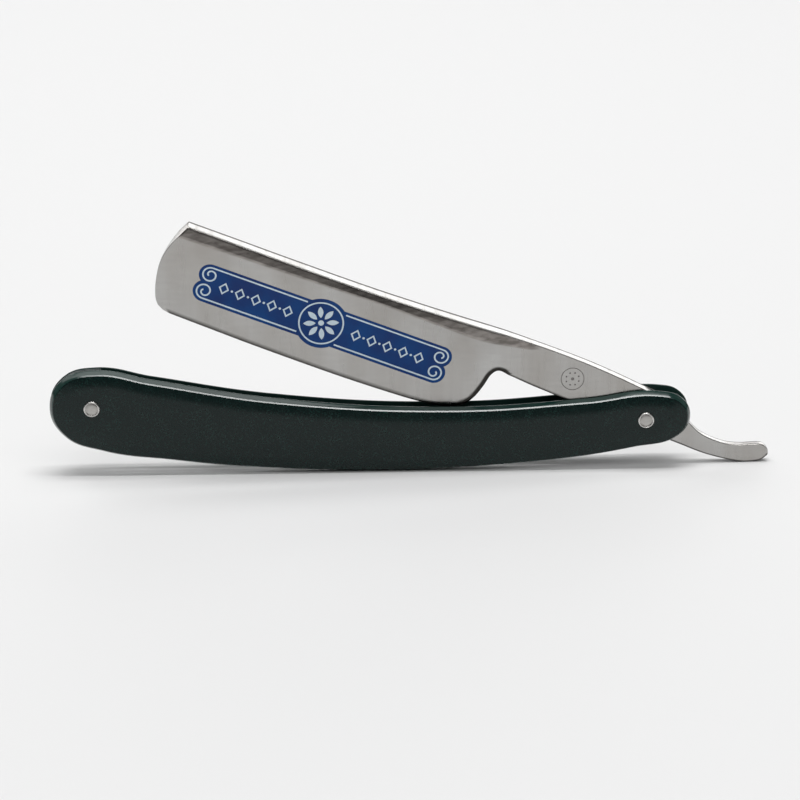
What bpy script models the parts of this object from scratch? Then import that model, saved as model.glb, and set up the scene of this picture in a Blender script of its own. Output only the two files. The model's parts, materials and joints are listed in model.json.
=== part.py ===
"""A straight razor, half open, standing on the lower edges of its scales and on its tail.

The handle runs along X with the pivot towards +X, the scales lie either side of the XZ plane, and the floor
is at Z = 0. Lengths below are in millimetres and angles in degrees; MM turns them into metres.
"""

import math

import bmesh
import bpy
from mathutils import Matrix, Vector

MM = 0.001

# Handle. Outline points are measured from the pivot, +X away from the blade's nose and +Z up.
PIN_SPACING_X = 133.5
WEDGE_PIN = (-PIN_SPACING_X, 4.7)
SCALE_THICKNESS = 2.6
GAP_AT_PIVOT = 4.6
GAP_AT_WEDGE_PIN = 2.0
OUTLINE_RESOLUTION = 6
# The rim slopes from the inner edge to a small round at the outer face: steps inwards and outwards.
RIM_STRAIGHT = 0.15
RIM_STEPS = [(0.33, 1.15), (0.42, 1.0), (0.14, 0.17), (0.15, 0.09), (0.11, 0.04)]
SCALE_OUTLINE = [
    (11.0, 0.3),
    (8.9, 4.7),
    (3.4, 6.5),
    (-14.0, 4.9),
    (-47.0, 3.2),
    (-90.0, 6.1),
    (-119.0, 11.1),
    (-132.5, 13.6),
    (-140.2, 11.5),
    (-143.75, 4.7),
    (-140.6, -2.9),
    (-131.0, -7.0),
    (-115.0, -9.4),
    (-98.0, -11.3),
    (-65.0, -12.65),
    (-30.0, -11.3),
    (-3.0, -7.8),
    (8.7, -4.5),
]

# Wedge spacer at the closed end of the handle.
SPACER_LENGTH = 13.0

# Pins, their cupped collars outside and their washers inside.
PIN_RADIUS = 1.0
PIN_HEAD_RADIUS = 1.45
PIN_HEAD_EDGE = 0.12
PIN_HEAD_DOME = 0.12
COLLAR_RADIUS = 1.95
COLLAR_HEIGHT = 0.6
COLLAR_FLOOR = 0.25
COLLAR_BORE = 1.55
COLLAR_ROUND = 0.2
WASHER_RADIUS = 3.2
WASHER_THICKNESS = 0.22
RUNNING_CLEARANCE = 0.06
SEAT_GAP = 0.05
TURN_STEPS = 32

# Blade, in its own frame: u runs from the pivot to the nose, v from the edge to the spine.
OPEN_ANGLE = 21.5
TANG_HALF = 1.95
TAIL_HALF = 1.25
TAIL_TIP_HALF = 1.1
SPINE_TOP_HALF = 2.65
SPINE_RIDGE_HALF = 3.0
EDGE_HALF = 0.05
HOLLOW_DEPTH = 22.6
HOLLOW_POWER = 3.0
GRIND_START = 28.0
GRIND_FULL = 46.0
# Depth of the ridge under the spine, as u and depth: it wanders as a hand-held grind does.
RIDGE_LINE = [
    (29.0, 0.5),
    (33.0, 1.6),
    (38.0, 2.4),
    (45.0, 2.9),
    (56.0, 2.4),
    (70.0, 1.8),
    (86.0, 2.1),
    (102.0, 2.5),
    (119.0, 3.0),
]
CORNER_ROUND = 0.25
HOLLOW_ROWS = 9
EDGE_ROWS = (0.9, 0.3)
STATION_STEP = 2.6
# Each station is top u, top v, bottom u, bottom v. STATION_STEP is the longest step between sections.
BLADE_STATIONS = [
    (-32.3, 1.45, -32.3, 0.95),
    (-31.9, 2.25, -32.0, 0.2),
    (-31.0, 2.85, -31.3, -0.8),
    (-29.6, 2.95, -30.0, -1.65),
    (-27.6, 2.15, -27.6, -2.75),
    (-25.0, 1.0, -24.5, -3.4),
    (-21.8, 0.15, -21.5, -3.8),
    (-18.2, 0.0, -18.0, -4.1),
    (-14.5, 0.5, -14.5, -4.1),
    (-11.3, 1.9, -11.3, -3.9),
    (-7.0, 4.5, -7.5, -3.7),
    (-3.0, 5.7, -3.5, -3.6),
    (3.0, 6.25, 2.5, -3.4),
    (10.0, 6.9, 10.0, -3.15),
    (18.0, 7.4, 19.0, -2.9),
    (27.0, 7.55, 28.0, -2.5),
    (33.5, 7.5, 34.6, -2.1),
    (36.5, 7.45, 37.4, -2.1),
    (38.5, 7.4, 38.7, -3.9),
    (40.0, 7.35, 39.3, -7.2),
    (41.6, 7.25, 40.3, -10.6),
    (43.6, 7.15, 42.1, -13.3),
    (47.0, 6.95, 46.0, -15.3),
    (52.0, 6.7, 51.5, -16.2),
    (60.0, 6.35, 59.5, -16.7),
    (74.0, 5.95, 73.5, -17.05),
    (94.0, 5.85, 93.5, -17.0),
    (108.0, 5.9, 106.0, -16.75),
    (119.6, 5.9, 116.3, -16.5),
]
# The nose's outline from the spine to the edge, as u and v.
NOSE_OUTLINE = [
    (119.6, 5.9),
    (121.3, 2.1),
    (122.4, -1.6),
    (122.8, -5.5),
    (122.2, -9.8),
    (121.1, -13.3),
    (120.0, -15.1),
    (118.5, -16.1),
    (116.3, -16.5),
]
NOSE_START = 108.0

DARK_GREEN = (0.012, 0.022, 0.019, 1.0)
STEEL = (0.62, 0.62, 0.6, 1.0)
PIN_STEEL = (0.7, 0.69, 0.66, 1.0)
WASHER_BRASS = (0.72, 0.55, 0.27, 1.0)


def clear_scene():
    for obj in list(bpy.data.objects):
        bpy.data.objects.remove(obj, do_unlink=True)


def new_collection(name):
    collection = bpy.data.collections.new(name)
    bpy.context.scene.collection.children.link(collection)
    return collection


def new_material(name, colour, roughness, metallic):
    material = bpy.data.materials.new(name)
    material.use_nodes = True
    shader = material.node_tree.nodes["Principled BSDF"]
    shader.inputs["Base Color"].default_value = colour
    shader.inputs["Roughness"].default_value = roughness
    shader.inputs["Metallic"].default_value = metallic
    material.diffuse_color = colour
    return material


def new_object(name, mesh, collection, material=None):
    obj = bpy.data.objects.new(name, mesh)
    collection.objects.link(obj)
    if material:
        mesh.materials.append(material)
    return obj


def smooth_step(low, high, value):
    share = min(max((value - low) / (high - low), 0.0), 1.0)
    return share * share * (3.0 - 2.0 * share)


def through(points, keys, key):
    """Smooth curve through points placed at rising keys, by cubic segments."""
    last = len(points) - 1
    index = min(max(sum(1 for k in keys if k <= key) - 1, 0), last - 1)
    span = keys[index + 1] - keys[index]
    share = (key - keys[index]) / span

    def slope(i):
        low = max(i - 1, 0)
        high = min(i + 1, last)
        return (points[high] - points[low]) / (keys[high] - keys[low])

    start, end = points[index], points[index + 1]
    rise = slope(index) * span
    fall = slope(index + 1) * span
    a = 2.0 * start - 2.0 * end + rise + fall
    b = 3.0 * end - 3.0 * start - 2.0 * rise - fall
    return ((a * share + b) * share + rise) * share + start


# --- Handle -------------------------------------------------------------------------------------------------


def gap_at(x):
    """Clear space between the scales at a distance x from the pivot."""
    return GAP_AT_PIVOT + (GAP_AT_PIVOT - GAP_AT_WEDGE_PIN) * x / PIN_SPACING_X


def splay_angle():
    return math.atan((GAP_AT_PIVOT - GAP_AT_WEDGE_PIN) / (2.0 * PIN_SPACING_X))


def outline_prism(name, thickness):
    """The handle's side outline, closed, with a flat face at y = 0 and another at y = -thickness."""
    curve = bpy.data.curves.new(name, "CURVE")
    curve.dimensions = "2D"
    curve.fill_mode = "BOTH"
    curve.resolution_u = OUTLINE_RESOLUTION
    curve.extrude = thickness * MM / 2.0
    spline = curve.splines.new("BEZIER")
    spline.bezier_points.add(len(SCALE_OUTLINE) - 1)
    for point, (x, z) in zip(spline.bezier_points, SCALE_OUTLINE):
        point.co = (x * MM, z * MM, 0.0)
        point.handle_left_type = "AUTO"
        point.handle_right_type = "AUTO"
    spline.use_cyclic_u = True
    guide = bpy.data.objects.new(name, curve)
    bpy.context.scene.collection.objects.link(guide)
    mesh = bpy.data.meshes.new_from_object(guide.evaluated_get(bpy.context.evaluated_depsgraph_get()))
    bpy.data.objects.remove(guide, do_unlink=True)
    bpy.data.curves.remove(curve)
    stand_up = Matrix.Rotation(math.radians(90.0), 4, "X")
    to_inner_face = Matrix.Translation((0.0, -thickness * MM / 2.0, 0.0))
    work = bmesh.new()
    work.from_mesh(mesh)
    bmesh.ops.remove_doubles(work, verts=work.verts, dist=1e-7)
    bmesh.ops.dissolve_limit(work, angle_limit=0.001, verts=work.verts, edges=work.edges)
    bmesh.ops.transform(work, matrix=to_inner_face @ stand_up, verts=work.verts)
    bmesh.ops.recalc_face_normals(work, faces=work.faces)
    work.to_mesh(mesh)
    work.free()
    return mesh


def round_rim(mesh):
    """Steps the outer face inwards and outwards along the rim's profile."""
    work = bmesh.new()
    work.from_mesh(mesh)
    work.normal_update()
    outer = min(work.faces, key=lambda face: face.calc_center_median().y)
    for inset, rise in RIM_STEPS:
        bmesh.ops.inset_region(work, faces=[outer], thickness=inset * MM, depth=rise * MM, use_even_offset=True)
    work.to_mesh(mesh)
    work.free()


def make_front_scale(collection, material, holes):
    mesh = outline_prism("front_scale", RIM_STRAIGHT)
    round_rim(mesh)
    scale = new_object("front_scale", mesh, collection, material)
    scale.location.y = -GAP_AT_PIVOT / 2.0 * MM
    scale.rotation_euler.z = -splay_angle()
    for hole in holes:
        cut(scale, hole)
    return scale


def mirrored_copy(name, original, collection):
    """A finished piece's mirror image across the plane between the scales."""
    graph = bpy.context.evaluated_depsgraph_get()
    mesh = bpy.data.meshes.new_from_object(original.evaluated_get(graph))
    copy = new_object(name, mesh, collection)
    copy.location.y = -original.location.y
    copy.rotation_euler.z = -original.rotation_euler.z
    copy.scale.y = -1.0
    return copy


def make_wedge_spacer(collection, cutters, material):
    """The tapered spacer that fills the closed end of the handle, flush with the scales' outline."""
    width = GAP_AT_PIVOT * MM
    mesh = outline_prism("wedge_spacer", GAP_AT_PIVOT)
    mesh.transform(Matrix.Translation((0.0, width / 2.0, 0.0)))
    spacer = new_object("wedge_spacer", mesh, collection, material)
    end = min(x for x, _ in SCALE_OUTLINE)
    left, right = end - SPACER_LENGTH, end + SPACER_LENGTH
    block_mesh = bpy.data.meshes.new("spacer_block")
    work = bmesh.new()
    bmesh.ops.create_cube(work, size=2.0)
    for vert in work.verts:
        x = left if vert.co.x < 0 else right
        half = gap_at(x) / 2.0 - SEAT_GAP
        vert.co = Vector((x, vert.co.y * half, vert.co.z * SPACER_LENGTH * 2.0)) * MM
    work.to_mesh(block_mesh)
    work.free()
    block = new_object("spacer_block", block_mesh, cutters)
    keep = spacer.modifiers.new("Keep", "BOOLEAN")
    keep.operation = "INTERSECT"
    keep.object = block
    return spacer


# --- Pins, collars and washers --------------------------------------------------------------------------------


def turned(name, profile, closed, collection, material):
    """A solid of revolution about its own Z axis from (radius, height) points, outer side from top to bottom."""
    mesh = bpy.data.meshes.new(name)
    work = bmesh.new()
    verts = [work.verts.new((radius * MM, 0.0, height * MM)) for radius, height in profile]
    for start, end in zip(verts, verts[1:]):
        work.edges.new((start, end))
    if closed:
        work.edges.new((verts[-1], verts[0]))
    work.to_mesh(mesh)
    work.free()
    obj = new_object(name, mesh, collection, material)
    screw = obj.modifiers.new("Turn", "SCREW")
    screw.steps = TURN_STEPS
    screw.render_steps = TURN_STEPS
    screw.use_merge_vertices = True
    screw.merge_threshold = 0.00001
    return obj


def face_on(obj, side):
    """Points the turned piece's +Z out of the front (side -1) or the rear (side +1)."""
    obj.rotation_euler.x = -side * math.radians(90.0)


def seat_height(gap):
    """Distance from the middle plane to the underside of a collar."""
    return gap / 2.0 + SCALE_THICKNESS + SEAT_GAP


def pin_profile(gap):
    under_head = seat_height(gap) + COLLAR_FLOOR + SEAT_GAP
    top = under_head + PIN_HEAD_EDGE + PIN_HEAD_DOME
    upper = [
        (0.0, top),
        (PIN_HEAD_RADIUS * 0.55, top - PIN_HEAD_DOME * 0.3),
        (PIN_HEAD_RADIUS, under_head + PIN_HEAD_EDGE),
        (PIN_HEAD_RADIUS, under_head),
        (PIN_RADIUS, under_head),
    ]
    return upper + [(radius, -height) for radius, height in reversed(upper)]


def collar_profile():
    hole = PIN_RADIUS + RUNNING_CLEARANCE
    return [
        (COLLAR_BORE, COLLAR_HEIGHT),
        (COLLAR_RADIUS - COLLAR_ROUND, COLLAR_HEIGHT),
        (COLLAR_RADIUS - COLLAR_ROUND * 0.3, COLLAR_HEIGHT - COLLAR_ROUND * 0.3),
        (COLLAR_RADIUS, COLLAR_HEIGHT - COLLAR_ROUND),
        (COLLAR_RADIUS, 0.0),
        (hole, 0.0),
        (hole, COLLAR_FLOOR),
        (COLLAR_BORE, COLLAR_FLOOR),
    ]


def washer_profile():
    hole = PIN_RADIUS + RUNNING_CLEARANCE
    return [(WASHER_RADIUS, WASHER_THICKNESS), (WASHER_RADIUS, 0.0), (hole, 0.0), (hole, WASHER_THICKNESS)]


def make_pin_group(label, place, gap, collection, material):
    """A pin through both scales with a cupped collar under each head."""
    pin = turned(label + "_pin", pin_profile(gap), False, collection, material)
    face_on(pin, -1)
    group = [pin]
    for side, where in ((-1, "front"), (1, "rear")):
        collar = turned(label + "_collar_" + where, collar_profile(), True, collection, material)
        face_on(collar, side)
        collar.location.y = side * seat_height(gap) * MM
        group.append(collar)
    for obj in group:
        obj.location.x = place[0] * MM
        obj.location.z = place[1] * MM
    return group


def make_washers(collection, material):
    washers = []
    for side, where in ((-1, "front"), (1, "rear")):
        washer = turned("pivot_washer_" + where, washer_profile(), True, collection, material)
        face_on(washer, side)
        washer.location.y = side * (TANG_HALF + SEAT_GAP) * MM
        washers.append(washer)
    return washers


def pin_hole(name, place, cutters):
    """A cutter along Y, longer than the handle is thick."""
    mesh = bpy.data.meshes.new(name)
    work = bmesh.new()
    bmesh.ops.create_cone(
        work,
        cap_ends=True,
        segments=TURN_STEPS,
        radius1=(PIN_RADIUS + RUNNING_CLEARANCE) * MM,
        radius2=(PIN_RADIUS + RUNNING_CLEARANCE) * MM,
        depth=4.0 * (GAP_AT_PIVOT + SCALE_THICKNESS) * MM,
        matrix=Matrix.Rotation(math.radians(90.0), 4, "X"),
    )
    work.to_mesh(mesh)
    work.free()
    cutter = new_object(name, mesh, cutters)
    cutter.location = (place[0] * MM, 0.0, place[1] * MM)
    return cutter


def cut(obj, cutter):
    hole = obj.modifiers.new("Hole", "BOOLEAN")
    hole.operation = "DIFFERENCE"
    hole.object = cutter


# --- Blade ----------------------------------------------------------------------------------------------------


def body_half(u):
    """Half thickness of the tang, thinning to the tail."""
    tail = TAIL_TIP_HALF + (TAIL_HALF - TAIL_TIP_HALF) * smooth_step(-32.0, -20.0, u)
    return tail + (TANG_HALF - tail) * smooth_step(-15.0, -6.0, u)


def ground_half(depth, ridge):
    """Half thickness of the ground part, at a depth below the top of the spine."""
    if depth <= ridge:
        return SPINE_TOP_HALF + (SPINE_RIDGE_HALF - SPINE_TOP_HALF) * depth / ridge
    share = min((depth - ridge) / (HOLLOW_DEPTH - ridge), 1.0)
    return EDGE_HALF + (SPINE_RIDGE_HALF - EDGE_HALF) * (1.0 - share) ** HOLLOW_POWER


def blade_half(u, depth, ridge):
    ground = smooth_step(GRIND_START, GRIND_FULL, u)
    return body_half(u) * (1.0 - ground) + ground_half(depth, ridge) * ground


def ridge_depth(u, width):
    keys = [key for key, _ in RIDGE_LINE]
    depth = through([depth for _, depth in RIDGE_LINE], keys, min(max(u, keys[0]), keys[-1]))
    return min(depth, width * 0.35)


def row_depths(u, width):
    """Depths of the rows that run along the blade, from the top of the spine to the edge."""
    corner = min(CORNER_ROUND, width * 0.1)
    ridge = ridge_depth(u, width)
    hollow = width - ridge
    rows = [0.0, corner, ridge]
    rows += [ridge + hollow * step / HOLLOW_ROWS for step in range(1, HOLLOW_ROWS)]
    rows += [width - above * min(1.0, width / HOLLOW_DEPTH) for above in EDGE_ROWS]
    return rows + [width], ridge


def nose_offset(v, straight_u):
    keys = [-point[1] for point in NOSE_OUTLINE]
    return through([point[0] for point in NOSE_OUTLINE], keys, -v) - straight_u


def section(station, nose_fade):
    """Cross-section at a station: points down the front (-Y) side, one for each row."""
    top = Vector(station[:2])
    bottom = Vector(station[2:])
    width = (top - bottom).length
    depths, ridge = row_depths(station[0], width)
    last_top = Vector(BLADE_STATIONS[-1][:2])
    last_bottom = Vector(BLADE_STATIONS[-1][2:])
    points = []
    for row, depth in enumerate(depths):
        share = depth / width
        place = top.lerp(bottom, share)
        if nose_fade > 0.0:
            end = last_top.lerp(last_bottom, share)
            place.x += nose_fade * nose_offset(end.y, end.x)
        half = blade_half(place.x, depth, ridge)
        if row in (0, len(depths) - 1):
            half -= min(CORNER_ROUND, half * 0.5)
        points.append((place.x, half, place.y))
    return points


def blade_sections():
    columns = list(zip(*BLADE_STATIONS))
    keys = columns[0]
    sections = []
    for index in range(len(keys) - 1):
        here, after = BLADE_STATIONS[index], BLADE_STATIONS[index + 1]
        reach = max(math.dist(here[:2], after[:2]), math.dist(here[2:], after[2:]))
        steps = max(1, math.ceil(reach / STATION_STEP))
        for step in range(steps):
            key = keys[index] + (keys[index + 1] - keys[index]) * step / steps
            station = [through(column, keys, key) for column in columns]
            sections.append(section(station, smooth_step(NOSE_START, keys[-1], key)))
    sections.append(section(BLADE_STATIONS[-1], 1.0))
    return sections


def make_blade(collection, material):
    """Tail, tang and hollow-ground blade as one forging, lofted along its length."""
    mesh = bpy.data.meshes.new("blade")
    work = bmesh.new()
    loops = []
    for points in blade_sections():
        front = [work.verts.new((-u * MM, -half * MM, v * MM)) for u, half, v in points]
        back = [work.verts.new((-u * MM, half * MM, v * MM)) for u, half, v in points]
        loops.append((front, back))
    for (front_a, back_a), (front_b, back_b) in zip(loops, loops[1:]):
        for row in range(len(front_a) - 1):
            work.faces.new((front_a[row], front_b[row], front_b[row + 1], front_a[row + 1]))
            work.faces.new((back_a[row], back_a[row + 1], back_b[row + 1], back_b[row]))
        work.faces.new((front_a[0], back_a[0], back_b[0], front_b[0]))
        work.faces.new((front_a[-1], front_b[-1], back_b[-1], back_a[-1]))
    for front, back in (loops[0], loops[-1]):
        for row in range(len(front) - 1):
            work.faces.new((front[row], front[row + 1], back[row + 1], back[row]))
    bmesh.ops.recalc_face_normals(work, faces=work.faces)
    work.to_mesh(mesh)
    work.free()
    blade = new_object("blade", mesh, collection, material)
    blade.rotation_euler.y = math.radians(OPEN_ANGLE)
    return blade


# --- Assembly -------------------------------------------------------------------------------------------------


def world_box(objects):
    graph = bpy.context.evaluated_depsgraph_get()
    points = []
    for obj in objects:
        evaluated = obj.evaluated_get(graph)
        points += [evaluated.matrix_world @ vert.co for vert in evaluated.to_mesh().vertices]
        evaluated.to_mesh_clear()
    low = Vector(min(point[axis] for point in points) for axis in range(3))
    high = Vector(max(point[axis] for point in points) for axis in range(3))
    return low, high


def main():
    clear_scene()
    parts = new_collection("straight_razor")
    cutters = new_collection("cutters")
    plastic = new_material("scale_plastic", DARK_GREEN, 0.25, 0.0)
    steel = new_material("blade_steel", STEEL, 0.22, 1.0)
    pin_metal = new_material("pin_metal", PIN_STEEL, 0.35, 1.0)
    brass = new_material("washer_brass", WASHER_BRASS, 0.3, 1.0)

    pivot = (0.0, 0.0)
    pivot_hole = pin_hole("pivot_hole", pivot, cutters)
    wedge_hole = pin_hole("wedge_hole", WEDGE_PIN, cutters)
    front_scale = make_front_scale(parts, plastic, (pivot_hole, wedge_hole))
    scales = [front_scale, mirrored_copy("rear_scale", front_scale, parts)]
    spacer = make_wedge_spacer(parts, cutters, plastic)
    blade = make_blade(parts, steel)
    pins = make_pin_group("pivot", pivot, GAP_AT_PIVOT, parts, pin_metal)
    pins += make_pin_group("wedge", WEDGE_PIN, GAP_AT_WEDGE_PIN, parts, pin_metal)
    washers = make_washers(parts, brass)

    cut(spacer, wedge_hole)
    cut(blade, pivot_hole)

    handle = bpy.data.objects.new("handle", None)
    parts.objects.link(handle)
    for obj in scales + [spacer, blade] + pins + washers + list(cutters.objects):
        obj.parent = handle
    for cutter in cutters.objects:
        cutter.display_type = "WIRE"
        cutter.hide_render = True
    bpy.context.view_layer.update()

    solids = [obj for obj in parts.objects if obj.type == "MESH"]
    for obj in solids:
        obj.data.shade_smooth()
        obj.data.set_sharp_from_angle(angle=math.radians(35.0))
    low, high = world_box(solids)
    handle.location = (-(low.x + high.x) / 2.0, 0.0, -low.z)
    bpy.context.view_layer.update()


main()
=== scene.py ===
"""Looks of a straight razor: smooth blade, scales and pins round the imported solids, a filled etched panel,
procedural materials, and a plain pale studio.

Shape sizes are in millimetres and become metres through MM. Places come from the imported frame.
"""

import json
import math

import bmesh
import bpy
import numpy as np
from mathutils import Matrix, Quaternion, Vector


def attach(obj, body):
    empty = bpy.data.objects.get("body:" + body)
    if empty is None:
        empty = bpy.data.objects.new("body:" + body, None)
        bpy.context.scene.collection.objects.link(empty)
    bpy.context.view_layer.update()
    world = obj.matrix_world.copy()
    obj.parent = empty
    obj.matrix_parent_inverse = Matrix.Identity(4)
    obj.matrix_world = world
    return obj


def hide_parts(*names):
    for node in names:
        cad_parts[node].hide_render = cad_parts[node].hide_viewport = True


MM = 0.001

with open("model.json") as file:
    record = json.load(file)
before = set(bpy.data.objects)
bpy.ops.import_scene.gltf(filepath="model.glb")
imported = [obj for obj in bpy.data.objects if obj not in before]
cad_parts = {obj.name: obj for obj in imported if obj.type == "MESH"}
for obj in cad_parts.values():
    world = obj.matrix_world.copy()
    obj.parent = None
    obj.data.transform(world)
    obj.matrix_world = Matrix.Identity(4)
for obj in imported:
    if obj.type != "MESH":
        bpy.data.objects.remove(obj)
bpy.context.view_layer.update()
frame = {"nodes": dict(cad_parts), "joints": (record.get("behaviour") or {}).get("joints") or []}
PIVOT = Vector(frame["joints"][0]["pos_m"])

# Blade, in its own frame: u runs from the pivot to the nose, v from the edge to the spine.
OPEN_ANGLE = math.radians(21.5)
# Half thickness of the tang and the tail, and where along the blade each thins to the next.
TANG_HALF = 1.95
TANG_THINS = (-15.0, -6.0)
TAIL_HALF = 1.25
TAIL_TIP_HALF = 1.1
TAIL_THINS = (-32.0, -20.0)
SPINE_TOP_HALF = 2.65
SPINE_RIDGE_HALF = 3.0
EDGE_HALF = 0.05
HOLLOW_DEPTH = 22.6
HOLLOW_POWER = 3.0
GRIND_START = 28.0
GRIND_FULL = 46.0
NOSE_START = 108.0
STATION_STEP = 0.6
# The ridge under the spine: its greatest depth as a share of the blade's width, and its line as u and depth.
RIDGE_LIMIT = 0.35
RIDGE_LINE = [
    (29.0, 0.5),
    (33.0, 1.6),
    (38.0, 2.4),
    (45.0, 2.9),
    (56.0, 2.4),
    (70.0, 1.8),
    (86.0, 2.1),
    (102.0, 2.5),
    (119.0, 3.0),
]
# Each station is top u, top v, bottom u, bottom v.
BLADE_STATIONS = [
    (-32.3, 1.45, -32.3, 0.95),
    (-31.9, 2.25, -32.0, 0.2),
    (-31.0, 2.85, -31.3, -0.8),
    (-29.6, 2.95, -30.0, -1.65),
    (-27.6, 2.15, -27.6, -2.75),
    (-25.0, 1.0, -24.5, -3.4),
    (-21.8, 0.15, -21.5, -3.8),
    (-18.2, 0.0, -18.0, -4.1),
    (-14.5, 0.5, -14.5, -4.1),
    (-11.3, 1.9, -11.3, -3.9),
    (-7.0, 4.5, -7.5, -3.7),
    (-3.0, 5.7, -3.5, -3.6),
    (3.0, 6.25, 2.5, -3.4),
    (10.0, 6.9, 10.0, -3.15),
    (18.0, 7.4, 19.0, -2.9),
    (27.0, 7.55, 28.0, -2.5),
    (33.5, 7.5, 34.6, -2.1),
    (36.5, 7.45, 37.4, -2.1),
    (38.5, 7.4, 38.7, -3.9),
    (40.0, 7.35, 39.3, -7.2),
    (41.6, 7.25, 40.3, -10.6),
    (43.6, 7.15, 42.1, -13.3),
    (47.0, 6.95, 46.0, -15.3),
    (52.0, 6.7, 51.5, -16.2),
    (60.0, 6.35, 59.5, -16.7),
    (74.0, 5.95, 73.5, -17.05),
    (94.0, 5.85, 93.5, -17.0),
    (108.0, 5.9, 106.0, -16.75),
    (119.6, 5.9, 116.3, -16.5),
]
# The nose's outline from the spine to the edge, as u and v.
NOSE_OUTLINE = [
    (119.6, 5.9),
    (121.3, 2.1),
    (122.4, -1.6),
    (122.8, -5.5),
    (122.2, -9.8),
    (121.1, -13.3),
    (120.0, -15.1),
    (118.5, -16.1),
    (116.3, -16.5),
]
# Rounds along the blade's outline: how far down the face, and how far into the thickness. None takes up
# more than a share of the section's width, and none leaves less than a share of its thickness.
TOP_ROUND = (0.22, 0.22)
BOTTOM_ROUND = (0.3, 0.3)
HEEL_ROUND = (0.85, 0.55)
ROUND_LIMIT = 0.2
THINNEST_SHARE = 0.08
# Where along the blade the heel's larger round starts, is full, starts to fade and ends.
HEEL_SPAN = (33.5, 36.0, 42.0, 45.5)
HEEL_STEP = 0.2
NOSE_ROUND = 0.22
NOSE_ROUND_LIMIT = 0.7
# Sections that round the nose off, as shares of its round still to go.
NOSE_SHARES = (0.92, 0.7, 0.45, 0.22, 0.08, 0.0)
ARC_STEPS = 5
FLANK_STEPS = 5
# Across half of the spine's top: share of the half width, with the last stretch dropping to the corner.
CROWN_SHARES = (0.15, 0.4, 0.6, 0.68, 0.76, 0.84, 0.9)
CROWN_START = 0.6
CROWN_DROP = 0.04
HOLLOW_STEPS = 30
HOLLOW_CROWDING = 1.25
# The line of painted shade along the lower outline: its width at the edge and down the heel, the share of
# the width in which it fades, and its strength at the edge. The outline has fine steps, and points are
# measured in chunks.
EDGE_LINE = 0.42
HEEL_LINE = 1.3
LINE_FADE = 0.25
LINE_STRENGTH = 0.85
LINE_STEPS = 600
LINE_CHUNKS = 60
# The spine's dark flank, a rougher finish that is partly painted dark reflection: where along the blade it
# comes up, the depths between which it comes up under the corner, and from the ridge the depths between
# which it ends.
FLANK_SPAN = (29.5, 32.5)
FLANK_TOP = (0.14, 0.24)
FLANK_END = (-0.15, 0.35)
# The line along the spine's rear edge, a satin finish painted darker as painted shade: the shares of the
# half thickness between which it comes up, and the depths between which it ends.
BROW_SPAN = (0.5, 0.58)
BROW_END = (0.25, 0.3)
# Faces that meet at more than this are shaded with a crisp edge.
BODY_SHARP = math.radians(50.0)

# Scales. The side outline is measured from the pivot, as are the pins.
PIN_SPACING_X = 133.5
WEDGE_PIN = (-PIN_SPACING_X, 4.7)
SCALE_THICKNESS = 2.6
GAP_AT_PIVOT = 4.6
GAP_AT_WEDGE_PIN = 2.0
OUTLINE_RESOLUTION = 22
SCALE_OUTLINE = [
    (11.0, 0.3),
    (8.9, 4.7),
    (3.4, 6.5),
    (-14.0, 4.9),
    (-47.0, 3.2),
    (-90.0, 6.1),
    (-119.0, 11.1),
    (-132.5, 13.6),
    (-140.2, 11.5),
    (-143.75, 4.7),
    (-140.6, -2.9),
    (-131.0, -7.0),
    (-115.0, -9.4),
    (-98.0, -11.3),
    (-65.0, -12.65),
    (-30.0, -11.3),
    (-3.0, -7.8),
    (8.7, -4.5),
]
# The scale's rim as distance in from the outline and height above its inner face: a steep side, a narrow
# polished corner, then a low crown. The side leans in more towards the handle's ends.
RIM_SIDE = [
    (1.2, 0.0),
    (0.3, 0.0),
    (0.12, 0.01),
    (0.01, 0.06),
    (0.0, 0.3),
    (0.03, 0.42),
    (0.17, 0.82),
    (0.31, 1.22),
    (0.44, 1.58),
]
RIM_CORNER = [
    (0.47, 1.64),
    (0.495, 1.7),
    (0.51, 1.72),
    (0.745, 2.026),
    (0.76, 2.046),
]
RIM_CROWN = [
    (0.8, 2.082),
    (0.88, 2.125),
    (1.05, 2.16),
    (1.6, 2.268),
    (2.2, 2.382),
    (2.7, 2.472),
    (3.2, 2.553),
    (3.7, 2.62),
    (4.3, 2.67),
    (5.0, 2.7),
    (5.5, 2.71),
]
SIDE_LEAN = 0.14
LEAN_MIDDLE = -35.0
LEAN_REACH = 55.0
LEAN_FROM = 0.3
LEAN_RISE = 1.34
SPACER_LENGTH = 13.0
# Across the spacer's thickness: share of its half width, and how far its edge lies inside the outline.
SPACER_ROWS = [
    (-0.98, 0.34),
    (-0.9, 0.2),
    (-0.6, 0.13),
    (0.0, 0.1),
    (0.6, 0.13),
    (0.9, 0.2),
    (0.98, 0.34),
]

# Pins, with the cupped collar round each end.
PIN_RADIUS = 1.0
PIN_HEAD_RADIUS = 1.45
PIN_HEAD_HEIGHT = 0.24
# The peened end's dome, as radius and drop below its top.
PIN_DOME = [
    (0.02, 0.0),
    (0.35, 0.004),
    (0.7, 0.02),
    (1.0, 0.045),
    (1.22, 0.075),
    (1.36, 0.11),
    (PIN_HEAD_RADIUS, 0.17),
]
COLLAR_RADIUS = 1.95
COLLAR_HEIGHT = 0.6
COLLAR_FLOOR = 0.25
COLLAR_BORE = 1.55
COLLAR_SINK = 0.4
COLLAR_HOLE = PIN_RADIUS + 0.06
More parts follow.
